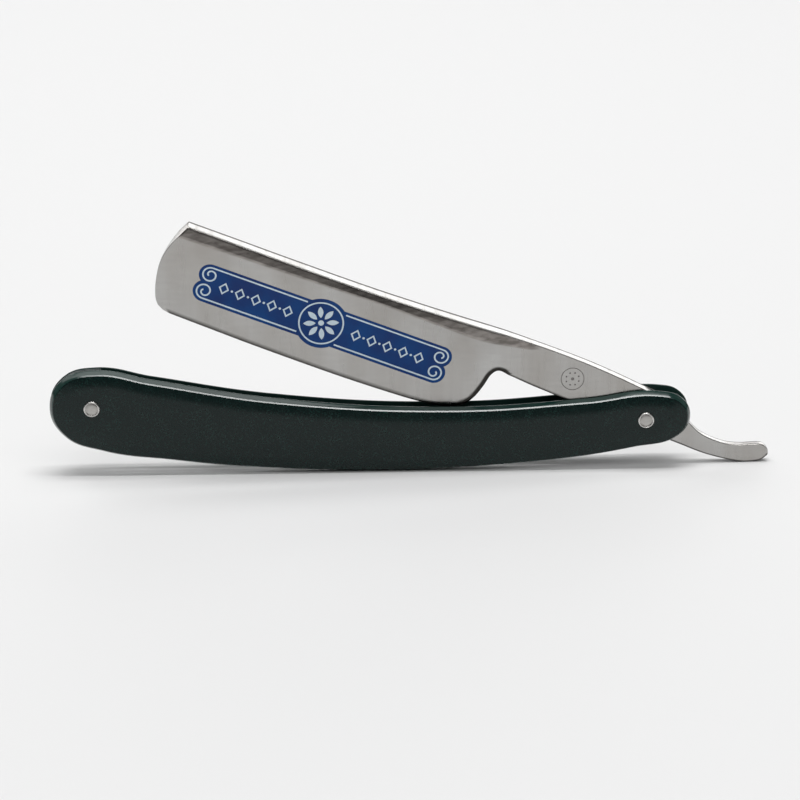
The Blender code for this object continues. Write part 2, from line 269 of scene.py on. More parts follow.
# Radius and height above the scale: the cup's floor and wall, its rounded rim, and down into the scale.
COLLAR_PROFILE = [
    (COLLAR_HOLE, COLLAR_FLOOR),
    (COLLAR_BORE, COLLAR_FLOOR),
    (COLLAR_BORE, COLLAR_HEIGHT - 0.12),
    (COLLAR_BORE + 0.03, COLLAR_HEIGHT - 0.04),
    (COLLAR_BORE + 0.1, COLLAR_HEIGHT),
    (COLLAR_RADIUS - 0.2, COLLAR_HEIGHT - 0.01),
    (COLLAR_RADIUS - 0.09, COLLAR_HEIGHT - 0.06),
    (COLLAR_RADIUS - 0.02, COLLAR_HEIGHT - 0.16),
    (COLLAR_RADIUS, COLLAR_HEIGHT - 0.3),
    (COLLAR_RADIUS, -COLLAR_SINK),
    (COLLAR_HOLE, -COLLAR_SINK),
]
SEAT_GAP = 0.05
TURN_STEPS = 72
TURN_SHARP = math.radians(45.0)

# Etched panel on the blade's front, as u, v of its middle and sizes along and across it.
PANEL_MIDDLE = (81.15, -5.95)
PANEL_TILT = math.radians(0.15)
PANEL_HALF_WIDTH = 4.95
LOBE_RADIUS = 2.75
LOBE_ALONG = 29.4
LOBE_ACROSS = PANEL_HALF_WIDTH - LOBE_RADIUS
LOBE_STEPS = 20
BORDER_INSET = 0.85
BORDER_WIDTH = 0.4
BORDER_OVERLAP = 0.05
# Each quarter of the border ends in a curl: its steps, its whole turn, and how its radius shrinks.
CURL_STEPS = 44
CURL_TURN = 2.75 * math.pi
CURL_SHRINK = 0.78
CURL_POWER = 1.6
MEDALLION_MIDDLE = (0.5, 0.05)
MEDALLION_RADIUS = 6.4
MEDALLION_STEPS = 24
RING_RADIUS = 5.5
RING_WIDTH = 0.38
RING_STEPS = 72
# Lozenges to each side of the medallion: the first one's place, their spacing and their half sizes. A dot
# lies between each two of them.
LOZENGES = 5
LOZENGE_START = 8.7
LOZENGE_SPACING = 4.05
LOZENGE_SHIFT = 0.3
LOZENGE_OUTER = (1.3, 1.6)
LOZENGE_INNER = (0.82, 1.05)
DOT_OFFSET = 2.02
DOT_RADIUS = 0.3
DOT_STEPS = 16
# The rosette: petals from and to these radii, pointed by a power, and a round eye.
PETALS = 8
PETAL_SPAN = (1.3, 4.3)
PETAL_HALF_WIDTH = 0.66
PETAL_STEPS = 8
PETAL_POWER = 0.8
EYE_RADIUS = 0.7
EYE_STEPS = 24
# The filled shapes follow the blade in cells of this length and width, stand a little proud of it and reach
# a little into it.
SLAB_CELL = (1.8, 0.45)
SLAB_SHARP = math.radians(40.0)
FIELD_PROUD = 0.02
LINE_PROUD = 0.035
STAMP_PROUD = 0.012
SLAB_SINK = 0.03
# Struck mark on the tang: a ring, and dots on a circle round a centre dot.
STAMP_MIDDLE = (20.0, 2.6)
STAMP_RADIUS = 2.85
STAMP_LINE = 0.2
STAMP_STEPS = 64
STAMP_DOTS = 8
STAMP_CIRCLE = 1.6
STAMP_DOT_RADIUS = 0.22
STAMP_EYE_RADIUS = 0.4
STAMP_EYE_STEPS = 20

# Colours, as the two ends of a mottle or as one shade.
STEEL_WARM = (0.375, 0.357, 0.334)
STEEL_COOL = (0.482, 0.478, 0.468)
STEEL_GRAIN = (0.3, 0.295, 0.285)
# The flank's mottle: a rougher finish, with its darkness partly painted dark reflection.
FLANK_DARK = (0.17, 0.155, 0.143)
FLANK_PALE = (0.34, 0.315, 0.295)
# Painted shade along the lower outline and down the heel's wall.
LINE_PAINTED_SHADE = (0.035, 0.033, 0.03)
# The spine's satin rear edge, painted darker as painted shade.
BROW_PAINTED_SHADE = (0.22, 0.215, 0.205)
PLASTIC_DEEP = (0.0015, 0.0105, 0.0095)
PLASTIC_FLECK = (0.016, 0.05, 0.042)
# The rim's paler, streaked colour is painted sheen.
RIM_SHEEN_DARK = (0.008, 0.03, 0.025)
RIM_SHEEN_PALE = (0.024, 0.05, 0.044)
PIN_DARK = (0.58, 0.57, 0.55)
PIN_PALE = (0.68, 0.67, 0.65)
PEENED_DARK = (0.36, 0.35, 0.33)
PEENED_PALE = (0.6, 0.59, 0.57)
BRASS_DARK = (0.6, 0.44, 0.2)
BRASS_PALE = (0.78, 0.6, 0.32)
BLUE_DEEP = (0.012, 0.039, 0.17)
BLUE_BRIGHT = (0.006, 0.062, 0.24)
PALE_LOW = (0.55, 0.68, 0.78)
PALE_HIGH = (0.75, 0.86, 0.92)
STAMP_DARK = (0.12, 0.115, 0.11)
STAMP_PALE = (0.26, 0.25, 0.24)
FACE_IOR = 1.36
RIM_IOR = 1.44
# Roughness of the plastic: the two ends of its face's, and its rim's.
POLISHED = (0.16, 0.24, 0.12)
SANDED = (0.45, 0.6, 0.5)

# Studio.
FLOOR_HALF = 4.0
CAMERA_ELEVATION = math.radians(19.0)
CAMERA_AZIMUTH = math.radians(-2.0)
CAMERA_DISTANCE = 0.7
CAMERA_LENS = 130.1
SENSOR_WIDTH = 36.0
CLIP_START = 0.01
CAMERA_ROLL = math.radians(0.3)
CAMERA_TARGET = Vector((-0.002717, 0.0, 0.0171))
WORLD_STRENGTH = 0.08
# Each light is name, place, target, size across and up, and radiance.
LIGHTS = [
    ("strip_top", (0.0, -0.13, 2.2), (0.0, -0.13, 0.0), (2.0, 0.15), 21.0),
    ("top_soft", (0.15, 0.22, 2.2), (0.15, 0.22, 0.0), (1.4, 0.3), 10.0),
    ("front_fill", (0.0, -1.3, 1.8), (0.0, 0.0, 0.0), (3.2, 1.2), 1.2),
    ("back_low", (0.3, 2.2, 0.45), (0.0, 0.0, 0.05), (3.4, 0.84), 2.2),
    ("back_high", (-0.3, 0.8, 2.05), (-0.3, 0.0, 0.0), (2.3, 0.5), 2.4),
    ("left_back", (-1.16, 1.29, 1.35), (0.0, 0.0, 0.0), (1.1, 0.9), 1.35),
]


# --- Shared helpers -------------------------------------------------------------------------------


def smooth_step(low, high, value):
    share = min(max((value - low) / (high - low), 0.0), 1.0)
    return share * share * (3.0 - 2.0 * share)


def through(points, keys, key):
    """Smooth curve through points placed at rising keys, by cubic segments."""
    last = len(points) - 1
    index = min(max(sum(1 for k in keys if k <= key) - 1, 0), last - 1)
    span = keys[index + 1] - keys[index]
    share = (key - keys[index]) / span

    def slope(i):
        low = max(i - 1, 0)
        high = min(i + 1, last)
        return (points[high] - points[low]) / (keys[high] - keys[low])

    start, end = points[index], points[index + 1]
    rise = slope(index) * span
    fall = slope(index + 1) * span
    a = 2.0 * start - 2.0 * end + rise + fall
    b = 3.0 * end - 3.0 * start - 2.0 * rise - fall
    return ((a * share + b) * share + rise) * share + start


def new_object(name, mesh, material=None):
    obj = bpy.data.objects.new(name, mesh)
    bpy.context.scene.collection.objects.link(obj)
    if material:
        mesh.materials.append(material)
    return obj


def mesh_from(name, points, faces, smooth=True):
    """A mesh from points in metres, with its faces turned to point outwards."""
    mesh = bpy.data.meshes.new(name)
    mesh.from_pydata([tuple(point) for point in points], [], faces)
    work = bmesh.new()
    work.from_mesh(mesh)
    bmesh.ops.recalc_face_normals(work, faces=work.faces)
    work.to_mesh(mesh)
    work.free()
    if smooth:
        mesh.shade_smooth()
    return mesh


def mesh_of(curve):
    """The mesh that a curve fills or follows. The curve itself is removed."""
    guide = bpy.data.objects.new(curve.name, curve)
    bpy.context.scene.collection.objects.link(guide)
    graph = bpy.context.evaluated_depsgraph_get()
    mesh = bpy.data.meshes.new_from_object(guide.evaluated_get(graph))
    bpy.data.objects.remove(guide, do_unlink=True)
    bpy.data.curves.remove(curve)
    return mesh


def add_attribute(mesh, name, values):
    attribute = mesh.attributes.new(name, "FLOAT", "POINT")
    attribute.data.foreach_set("value", np.asarray(values, np.float32))


# --- Blade ----------------------------------------------------------------------------------------


def blade_place(u, half, v):
    """A point of the blade in the row frame, in metres."""
    x = -u * math.cos(OPEN_ANGLE) + v * math.sin(OPEN_ANGLE)
    z = u * math.sin(OPEN_ANGLE) + v * math.cos(OPEN_ANGLE)
    return PIVOT + Vector((x, half, z)) * MM


def body_half(u):
    """Half thickness of the tang, thinning to the tail."""
    tail = TAIL_TIP_HALF + (TAIL_HALF - TAIL_TIP_HALF) * smooth_step(*TAIL_THINS, u)
    return tail + (TANG_HALF - tail) * smooth_step(*TANG_THINS, u)


def ridge_depth(u, width):
    keys = [key for key, _ in RIDGE_LINE]
    depth = through([depth for _, depth in RIDGE_LINE], keys, min(max(u, keys[0]), keys[-1]))
    return min(depth, width * RIDGE_LIMIT)


def ground_half(depth, ridge):
    """Half thickness of the ground part, at a depth below the top of the spine."""
    if depth <= ridge:
        return SPINE_TOP_HALF + (SPINE_RIDGE_HALF - SPINE_TOP_HALF) * depth / ridge
    share = min((depth - ridge) / (HOLLOW_DEPTH - ridge), 1.0)
    return EDGE_HALF + (SPINE_RIDGE_HALF - EDGE_HALF) * (1.0 - share) ** HOLLOW_POWER


def blade_half(u, depth, ridge):
    ground = smooth_step(GRIND_START, GRIND_FULL, u)
    return body_half(u) * (1.0 - ground) + ground_half(depth, ridge) * ground


def arc(extent, steps):
    """Quarter round from its flat end to its full end: (along the face, left into the thickness)."""
    turns = [math.pi / 2.0 * step / steps for step in range(steps + 1)]
    return [(extent[0] * (1.0 - math.cos(turn)), extent[1] * (1.0 - math.sin(turn))) for turn in turns]


def heel_share(u):
    """How much of a place along the lower outline belongs to the heel's wall."""
    start, full, fade, end = HEEL_SPAN
    return smooth_step(start, full, u) * (1.0 - smooth_step(fade, end, u))


def bottom_round(u):
    """The round along the lower outline, larger down the heel's wall."""
    heel = heel_share(u)
    return [edge + (wall - edge) * heel for edge, wall in zip(BOTTOM_ROUND, HEEL_ROUND)]


def crown_rows(half, corner):
    """(depth, inset) across the spine's top, from near its middle to where the corner's round begins."""
    flat = half - corner
    rows = []
    for share in (*CROWN_SHARES, 1.0):
        fall = max(share - CROWN_START, 0.0) / (1.0 - CROWN_START)
        rows.append((CROWN_DROP * fall * fall * half / SPINE_TOP_HALF, half - flat * share))
    return rows


def lower_outline():
    """Fine points along the blade's lower outline, with how much of each belongs to the heel's wall."""
    top_u, _, bottom_u, bottom_v = zip(*BLADE_STATIONS)
    first, last = top_u[0], top_u[-1]
    keys = [first + (last - first) * step / LINE_STEPS for step in range(LINE_STEPS + 1)]
    line = [(through(bottom_u, top_u, key), through(bottom_v, top_u, key)) for key in keys]
    return np.array(line), np.array([heel_share(u) for u, _ in line])


def lower_painted_shade(places):
    """How far each u, v lies in the line of painted shade along the lower outline, widest down the heel's
    wall.
    """
    line, heel = lower_outline()
    shades = []
    for chunk in np.array_split(np.array(places), LINE_CHUNKS):
        gaps = np.linalg.norm(chunk[:, None, :] - line[None, :, :], axis=2)
        nearest = gaps.argmin(axis=1)
        reach = EDGE_LINE + (HEEL_LINE - EDGE_LINE) * heel[nearest]
        share = np.clip((reach - gaps.min(axis=1)) / (reach * LINE_FADE), 0.0, 1.0)
        shades.append(share * (LINE_STRENGTH + (1.0 - LINE_STRENGTH) * heel[nearest]))
    return np.concatenate(shades)


def section_rows(u, width):
    """(depth, inset) of each row from the top of the section to its lower end, and the ridge's depth."""
    ridge = ridge_depth(u, width)
    top = (min(TOP_ROUND[0], width * ROUND_LIMIT), TOP_ROUND[1])
    down, into = bottom_round(u)
    bottom = (min(down, width * ROUND_LIMIT), into)
    rows = crown_rows(blade_half(u, 0.0, ridge), top[1])
    drop = rows[-1][0]
    for depth, inset in arc(top, ARC_STEPS)[1:]:
        rows.append((drop + depth * (1.0 - drop / top[0]), inset))
    for step in range(1, FLANK_STEPS + 1):
        rows.append((top[0] + (ridge - top[0]) * step / FLANK_STEPS, 0.0))
    last = width - bottom[0]
    for step in range(1, HOLLOW_STEPS):
        share = step / HOLLOW_STEPS
        rows.append((ridge + (last - ridge) * share ** HOLLOW_CROWDING, 0.0))
    rows += [(width - depth, inset) for depth, inset in reversed(arc(bottom, ARC_STEPS))]
    return rows, ridge


def nose_offset(v, straight_u):
    keys = [-point[1] for point in NOSE_OUTLINE]
    return through([point[0] for point in NOSE_OUTLINE], keys, -v) - straight_u


def spine_shades(u, depth, ridge, share):
    """Shares of the dark flank (partly painted dark reflection) and of the satin edge (painted shade) at a
    depth, and at a share of the half thickness.
    """
    above_ridge = 1.0 - smooth_step(ridge + FLANK_END[0], ridge + FLANK_END[1], depth)
    flank = smooth_step(*FLANK_SPAN, u) * above_ridge * smooth_step(*FLANK_TOP, depth)
    brow = smooth_step(*BROW_SPAN, share) * (1.0 - smooth_step(*BROW_END, depth))
    return flank, brow


def section(station, nose_fade, back_from_nose):
    """Points down one side of a section: u, half thickness, v, and shares of the dark flank (partly painted
    dark reflection) and of the satin edge (painted shade).
    """
    top = Vector(station[:2])
    bottom = Vector(station[2:])
    width = (top - bottom).length
    rows, ridge = section_rows(station[0], width)
    last_top = Vector(BLADE_STATIONS[-1][:2])
    last_bottom = Vector(BLADE_STATIONS[-1][2:])
    points = []
    for depth, inset in rows:
        share = depth / width
        place = top.lerp(bottom, share)
        if nose_fade > 0.0:
            end = last_top.lerp(last_bottom, share)
            place.x += nose_fade * nose_offset(end.y, end.x)
        place.x -= back_from_nose
        full = blade_half(place.x, depth, ridge)
        half = max(full - inset, full * THINNEST_SHARE)
        if nose_fade >= 1.0:
            reach = min(NOSE_ROUND, half * NOSE_ROUND_LIMIT)
            left = max(1.0 - back_from_nose / NOSE_ROUND, 0.0)
            half -= reach * (1.0 - math.sqrt(1.0 - left * left))
        shades = spine_shades(place.x, depth, ridge, half / full)
        points.append((place.x, half, place.y, *shades))
    return points


def blade_sections():
    columns = list(zip(*BLADE_STATIONS))
    keys = columns[0]
    sections = []
    for index in range(len(keys) - 1):
        here, after = BLADE_STATIONS[index], BLADE_STATIONS[index + 1]
        reach = max(math.dist(here[:2], after[:2]), math.dist(here[2:], after[2:]))
        near_heel = HEEL_SPAN[0] < here[2] < HEEL_SPAN[-1]
        steps = max(2, math.ceil(reach / (HEEL_STEP if near_heel else STATION_STEP)))
        for step in range(steps):
            key = keys[index] + (keys[index + 1] - keys[index]) * step / steps
            station = [through(column, keys, key) for column in columns]
            sections.append(section(station, smooth_step(NOSE_START, keys[-1], key), 0.0))
    for share in NOSE_SHARES:
        sections.append(section(BLADE_STATIONS[-1], 1.0, NOSE_ROUND * share))
    return sections


def skin_faces(count, rows):
    """Faces over two sides of count stations with so many rows each, joined all round their outline."""
    other_side = count * rows
    faces = []
    for station in range(count - 1):
        for first in (station * rows, other_side + station * rows):
            for a in range(first, first + rows - 1):
                faces.append((a, a + rows, a + rows + 1, a + 1))
        for a in (station * rows, station * rows + rows - 1):
            faces.append((a, a + other_side, a + other_side + rows, a + rows))
    for first in (0, (count - 1) * rows):
        for a in range(first, first + rows - 1):
            faces.append((a, a + 1, a + other_side + 1, a + other_side))
    return faces


def make_blade(material):
    """Tail, tang and hollow-ground blade as one closed skin. The scales hide the place of its pin hole."""
    sections = blade_sections()
    count = len(sections)
    rows = len(sections[0])
    points, flank, brow, places = [], [], [], []
    for side in (-1.0, 1.0):
        for column in sections:
            for u, half, v, on_flank, on_brow in column:
                points.append(blade_place(u, side * half, v))
                flank.append(on_flank)
                brow.append(on_brow if side > 0.0 else 0.0)
                places.append((u, v))
    mesh = mesh_from("blade_ground", points, skin_faces(count, rows))
    mesh.set_sharp_from_angle(angle=BODY_SHARP)
    add_attribute(mesh, "flank", flank)
    add_attribute(mesh, "brow", brow)
    # The "lower" value is the share of painted shade along the lower outline.
    add_attribute(mesh, "lower", lower_painted_shade(places))
    return new_object("blade_ground", mesh, material)


def surface_half(u, v):
    """Half thickness of the blade's face at a point well inside its outline."""
    top_u, top_v, bottom_u, bottom_v = zip(*BLADE_STATIONS)
    top = through(top_v, top_u, u)
    bottom = through(bottom_v, bottom_u, u)
    return blade_half(u, top - v, ridge_depth(u, top - bottom))


# --- Etched panel and stamp -----------------------------------------------------------------------


def panel_point(along, across):
    """u and v of a point of the panel: along runs towards the nose, across towards the spine."""
    turn = -PANEL_TILT
    u = PANEL_MIDDLE[0] + along * math.cos(turn) - across * math.sin(turn)
    v = PANEL_MIDDLE[1] + along * math.sin(turn) + across * math.cos(turn)
    return u, v


def ring(middle, radius, steps):
    turns = [2.0 * math.pi * step / steps for step in range(steps)]
    return [(middle[0] + radius * math.cos(turn), middle[1] + radius * math.sin(turn)) for turn in turns]


def cut_into_cells(work):
    """Cuts a flat mesh along both axes, so that it can bend with the blade."""
    for axis, size in enumerate(SLAB_CELL):
        low = min(vert.co[axis] for vert in work.verts)
        high = max(vert.co[axis] for vert in work.verts)
        normal = Vector((1.0 - axis, axis, 0.0))
        place = low + size
        while place < high:
            geometry = work.verts[:] + work.edges[:] + work.faces[:]
            bmesh.ops.bisect_plane(work, geom=geometry, dist=1e-6, plane_co=normal * place, plane_no=normal)
            place += size


def filled(outlines):
    """A flat mesh that fills closed outlines by the even-odd rule."""
    curve = bpy.data.curves.new("slab", "CURVE")
    curve.dimensions = "2D"
    curve.fill_mode = "BOTH"
    for outline in outlines:
        spline = curve.splines.new("POLY")
        spline.points.add(len(outline) - 1)
        for point, (a, b) in zip(spline.points, outline):
            point.co = (a, b, 0.0, 1.0)
        spline.use_cyclic_u = True
    return mesh_of(curve)


def slab_on_blade(outlines, proud, to_uv):
    """A thin closed sheet that fills the outlines and follows the blade's front face."""
    mesh = filled(outlines)
    work = bmesh.new()
    work.from_mesh(mesh)
    bmesh.ops.remove_doubles(work, verts=work.verts, dist=1e-5)
    cut_into_cells(work)
    thick = bmesh.ops.extrude_face_region(work, geom=work.faces[:])
    under = {item for item in thick["geom"] if isinstance(item, bmesh.types.BMVert)}
    for vert in work.verts:
        u, v = to_uv(vert.co.x, vert.co.y)
        lift = -SLAB_SINK if vert in under else proud
        vert.co = blade_place(u, -(surface_half(u, v) + lift), v)
    bmesh.ops.recalc_face_normals(work, faces=work.faces)
    work.to_mesh(mesh)
    work.free()
    mesh.shade_smooth()
    mesh.set_sharp_from_angle(angle=SLAB_SHARP)
    return mesh


def arc_points(middle, radius, start, end, steps):
    turns = [start + (end - start) * step / steps for step in range(steps + 1)]
    return [(middle[0] + radius * math.cos(turn), middle[1] + radius * math.sin(turn)) for turn in turns]


def panel_outline():
    """The bar with two round lobes at each end, and the medallion in its middle, as one outline."""
    notch = math.asin(LOBE_ACROSS / LOBE_RADIUS)
    upper = math.asin((PANEL_HALF_WIDTH - MEDALLION_MIDDLE[1]) / MEDALLION_RADIUS)
    lower = math.asin((PANEL_HALF_WIDTH + MEDALLION_MIDDLE[1]) / MEDALLION_RADIUS)

    def lobe(side_x, side_y, start, end):
        middle = (side_x * LOBE_ALONG, side_y * LOBE_ACROSS)
        return arc_points(middle, LOBE_RADIUS, start, end, LOBE_STEPS)

    def medallion(start, end):
        return arc_points(MEDALLION_MIDDLE, MEDALLION_RADIUS, start, end, MEDALLION_STEPS)

    outline = lobe(1, 1, -notch, 0.5 * math.pi)
    outline += medallion(upper, math.pi - upper)
    outline += lobe(-1, 1, 0.5 * math.pi, math.pi + notch)
    outline += lobe(-1, -1, math.pi - notch, 1.5 * math.pi)[1:]
    outline += medallion(math.pi + lower, 2.0 * math.pi - lower)
    outline += lobe(1, -1, 1.5 * math.pi, 2.0 * math.pi + notch)[:-1]
    return outline


def lozenge(place, half_length, half_width):
    ends = (place - half_length, place + half_length)
    return [(ends[1], 0.0), (place, half_width), (ends[0], 0.0), (place, -half_width)]


def petal(turn):
    """A pointed petal of the rosette, on the line from the medallion's middle at an angle."""
    start, end = PETAL_SPAN
    points = []
    for side in (1.0, -1.0):
        for step in range(PETAL_STEPS):
            share = step / PETAL_STEPS if side > 0 else 1.0 - step / PETAL_STEPS
            wide = PETAL_HALF_WIDTH * math.sin(math.pi * share) ** PETAL_POWER
            points.append((start + (end - start) * share, side * wide))
    x, y = MEDALLION_MIDDLE
    c, s = math.cos(turn), math.sin(turn)
    return [(x + a * c - b * s, y + a * s + b * c) for a, b in points]


def band(path, width):
    """A closed outline of even width along an open path."""
    sides = [[], []]
    for i, (x, y) in enumerate(path):
        before = path[max(i - 1, 0)]
        after = path[min(i + 1, len(path) - 1)]
        length = math.dist(before, after)
        normal = ((before[1] - after[1]) / length, (after[0] - before[0]) / length)
        for side, sign in zip(sides, (0.5, -0.5)):
            side.append((x + sign * width * normal[0], y + sign * width * normal[1]))
    return sides[0] + sides[1][::-1]


def border_hook(side_x, side_y):
    """One quarter of the border: a straight line out from the medallion that curls round in the lobe."""
    radius = LOBE_RADIUS - BORDER_INSET
    level = LOBE_ACROSS + radius
    reach = MEDALLION_RADIUS - BORDER_OVERLAP
    rise = level - side_y * MEDALLION_MIDDLE[1]
    path = [(math.sqrt(reach ** 2 - rise ** 2) + side_x * MEDALLION_MIDDLE[0], level)]
    for step in range(CURL_STEPS + 1):
        share = step / CURL_STEPS
        turn = math.pi / 2.0 - CURL_TURN * share
        size = radius * (1.0 - CURL_SHRINK * share ** CURL_POWER)
        path.append((LOBE_ALONG + size * math.cos(turn), LOBE_ACROSS + size * math.sin(turn)))
    return band([(x * side_x, y * side_y) for x, y in path], BORDER_WIDTH)


def panel_lines():
    """All pale lines of the panel: border, medallion ring, rosette and two rows of lozenges."""
    outlines = []
    for side_x in (1, -1):
        for side_y in (1, -1):
            outlines.append(border_hook(side_x, side_y))
        for step in range(LOZENGES):
            place = side_x * (LOZENGE_START + LOZENGE_SPACING * step) + LOZENGE_SHIFT
            outlines.append(lozenge(place, *LOZENGE_OUTER))
            outlines.append(lozenge(place, *LOZENGE_INNER))
            if step < LOZENGES - 1:
                outlines.append(ring((place + side_x * DOT_OFFSET, 0.0), DOT_RADIUS, DOT_STEPS))
    outlines.append(ring(MEDALLION_MIDDLE, RING_RADIUS, RING_STEPS))
    outlines.append(ring(MEDALLION_MIDDLE, RING_RADIUS - RING_WIDTH, RING_STEPS))
    for step in range(PETALS):
        outlines.append(petal(2.0 * math.pi / PETALS * (step + 0.5)))
    outlines.append(ring(MEDALLION_MIDDLE, EYE_RADIUS, EYE_STEPS))
    return outlines


def make_panel(field_material, line_material):
    field = slab_on_blade([panel_outline()], FIELD_PROUD, panel_point)
    lines = slab_on_blade(panel_lines(), LINE_PROUD, panel_point)
    return (
        new_object("etched_panel_field", field, field_material),
        new_object("etched_panel_lines", lines, line_material),
    )


def make_stamp(material):
    """A plain struck mark on the tang: a ring round eight dots and a centre dot."""
    outlines = [
        ring(STAMP_MIDDLE, STAMP_RADIUS, STAMP_STEPS),
        ring(STAMP_MIDDLE, STAMP_RADIUS - STAMP_LINE, STAMP_STEPS),
    ]
    for place in ring(STAMP_MIDDLE, STAMP_CIRCLE, STAMP_DOTS):
        outlines.append(ring(place, STAMP_DOT_RADIUS, DOT_STEPS))
    outlines.append(ring(STAMP_MIDDLE, STAMP_EYE_RADIUS, STAMP_EYE_STEPS))
    mesh = slab_on_blade(outlines, STAMP_PROUD, lambda u, v: (u, v))
    return new_object("tang_stamp", mesh, material)


# --- Scales ---------------------------------------------------------------------------------------


def splay_angle():
    return math.atan((GAP_AT_PIVOT - GAP_AT_WEDGE_PIN) / (2.0 * PIN_SPACING_X))


def scale_outline():
    """The side outline as a fine closed list of points, anticlockwise seen from the front."""
    curve = bpy.data.curves.new("outline", "CURVE")
    curve.dimensions = "2D"
    curve.resolution_u = OUTLINE_RESOLUTION
    spline = curve.splines.new("BEZIER")
    spline.bezier_points.add(len(SCALE_OUTLINE) - 1)
    for point, (x, z) in zip(spline.bezier_points, SCALE_OUTLINE):
        point.co = (x, z, 0.0)
        point.handle_left_type = "AUTO"
        point.handle_right_type = "AUTO"
    spline.use_cyclic_u = True
    mesh = mesh_of(curve)
    points = np.array([vert.co[:2] for vert in mesh.vertices])
    bpy.data.meshes.remove(mesh)
    return points


def inward_normals(points):
    along = np.roll(points, -1, 0) - np.roll(points, 1, 0)
    normals = np.stack([-along[:, 1], along[:, 0]], 1)
    normals /= np.linalg.norm(normals, axis=1)[:, None]
    area = np.sum(points[:, 0] * np.roll(points[:, 1], -1) - np.roll(points[:, 0], -1) * points[:, 1])
    return normals if area > 0 else -normals


def scale_place(x, height, z, side):
    """A point of a scale in the row frame, in metres: height is above its inner face."""
    turn = side * splay_angle()
    y = side * height
    world_x = x * math.cos(turn) - y * math.sin(turn)
    world_y = x * math.sin(turn) + y * math.cos(turn) + side * GAP_AT_PIVOT / 2.0
    return PIVOT + Vector((world_x, world_y, z)) * MM


def loop_faces(levels, count):
    """Faces that join closed loops of points level by level, with a flat face at each end."""
    faces = []
    for first in range(0, (levels - 1) * count, count):
        for i in range(count):
            a, b = first + i, first + (i + 1) % count
            faces.append((a, b, b + count, a + count))
    last = (levels - 1) * count
    return faces + [tuple(range(count)), tuple(range(last, last + count))]


def make_scale(name, side, material, rim_material):
    """One handle side, with the rim, painted paler as painted sheen, in its own material."""
    outline = scale_outline()
    normals = inward_normals(outline)
    profile = RIM_SIDE + RIM_CORNER + RIM_CROWN
    lean = SIDE_LEAN * np.clip(np.abs(outline[:, 0] - LEAN_MIDDLE) / LEAN_REACH, 0.0, 1.0) ** 2
    last_inset = profile[-1][0]
    points, rim = [], []
    for inset, height in profile:
        rising = min(max(height - LEAN_FROM, 0.0) / LEAN_RISE, 1.0)
        leaning = lean * rising * max(1.0 - inset / last_inset, 0.0)
        loop = outline + normals * (inset + leaning)[:, None]
        points += [scale_place(x, height, z, side) for x, z in loop]
        rim += [1.0 if height <= RIM_CORNER[-1][1] else 0.0] * len(outline)
    mesh = mesh_from(name, points, loop_faces(len(profile), len(outline)))
    add_attribute(mesh, "rim", rim)
    scale = new_object(name, mesh, material)
    mesh.materials.append(rim_material)
    for polygon in mesh.polygons:
        polygon.material_index = 1 if all(rim[index] for index in polygon.vertices) else 0
    return scale


def make_spacer(material):
    """The wedge between the scales' ends, sanded a hair below their edges."""
    outline = scale_outline()
    normals = inward_normals(outline)
    cut = outline[:, 0].min() + SPACER_LENGTH
    keep = np.where(outline[:, 0] < cut)[0]
    split = np.where(np.diff(keep) > 1)[0]
    if len(split):
        keep = np.roll(keep, -(split[0] + 1))
    points = []
    for share, inset in SPACER_ROWS:
        side = 1.0 if share > 0 else -1.0
        for x, z in outline[keep] + normals[keep] * inset:
            place = scale_place(x, 0.0, z, side)
            place.y *= abs(share)
            points.append(place)
    mesh = mesh_from("wedge_spacer_sanded", points, loop_faces(len(SPACER_ROWS), len(keep)))
    mesh.set_sharp_from_angle(angle=BODY_SHARP)
    return new_object("wedge_spacer_sanded", mesh, material)


# --- Pins -----------------------------------------------------------------------------------------


def turned(name, profile, place, side, material):
    """A solid of revolution along Y from (radius, height) points. Height runs out from the middle plane."""
    points = []
    for radius, height in profile:
        for step in range(TURN_STEPS):
            turn = 2.0 * math.pi * step / TURN_STEPS
            offset = Vector((radius * math.cos(turn), side * height, radius * math.sin(turn)))
            points.append(place + offset * MM)
    mesh = mesh_from(name, points, loop_faces(len(profile), TURN_STEPS))
    mesh.set_sharp_from_angle(angle=TURN_SHARP)
    return new_object(name, mesh, material)


def pin_profile(gap):
    """The pin's profile from one peened end to the other."""
    under_head = gap / 2.0 + SCALE_THICKNESS + SEAT_GAP + COLLAR_FLOOR + SEAT_GAP
    top = under_head + PIN_HEAD_HEIGHT
    half = [(radius, top - drop) for radius, drop in PIN_DOME]
    half += [(PIN_HEAD_RADIUS, under_head), (PIN_RADIUS, under_head)]
    return half + [(radius, -height) for radius, height in reversed(half)]


def make_pins(material, head_material):
    pieces = []
    for label, x, z, gap in (("pivot", 0.0, 0.0, GAP_AT_PIVOT), ("wedge", *WEDGE_PIN, GAP_AT_WEDGE_PIN)):
        place = PIVOT + Vector((x, 0.0, z)) * MM
        pin = turned(label + "_pin_peened", pin_profile(gap), place, 1.0, head_material)
        pieces.append((pin, label + "_pin"))
        seat = gap / 2.0 + SCALE_THICKNESS + SEAT_GAP
        profile = [(radius, seat + height) for radius, height in COLLAR_PROFILE]
        for side, where in ((-1.0, "front"), (1.0, "rear")):
            name = label + "_collar_" + where
            collar = turned(name + "_polished", profile, place, side, material)
            pieces.append((collar, name))
    return pieces


# --- Materials ------------------------------------------------------------------------------------


def new_material(name, colour, roughness, metallic=0.0):
    material = bpy.data.materials.new(name)
    material.use_nodes = True
    shader = material.node_tree.nodes["Principled BSDF"]
    shader.inputs["Base Color"].default_value = (*colour, 1.0)
    shader.inputs["Roughness"].default_value = roughness
    shader.inputs["Metallic"].default_value = metallic
    return material, shader


def node(tree, kind, **settings):
    made = tree.nodes.new(kind)
    for key, value in settings.items():
        setattr(made, key, value)
    return made


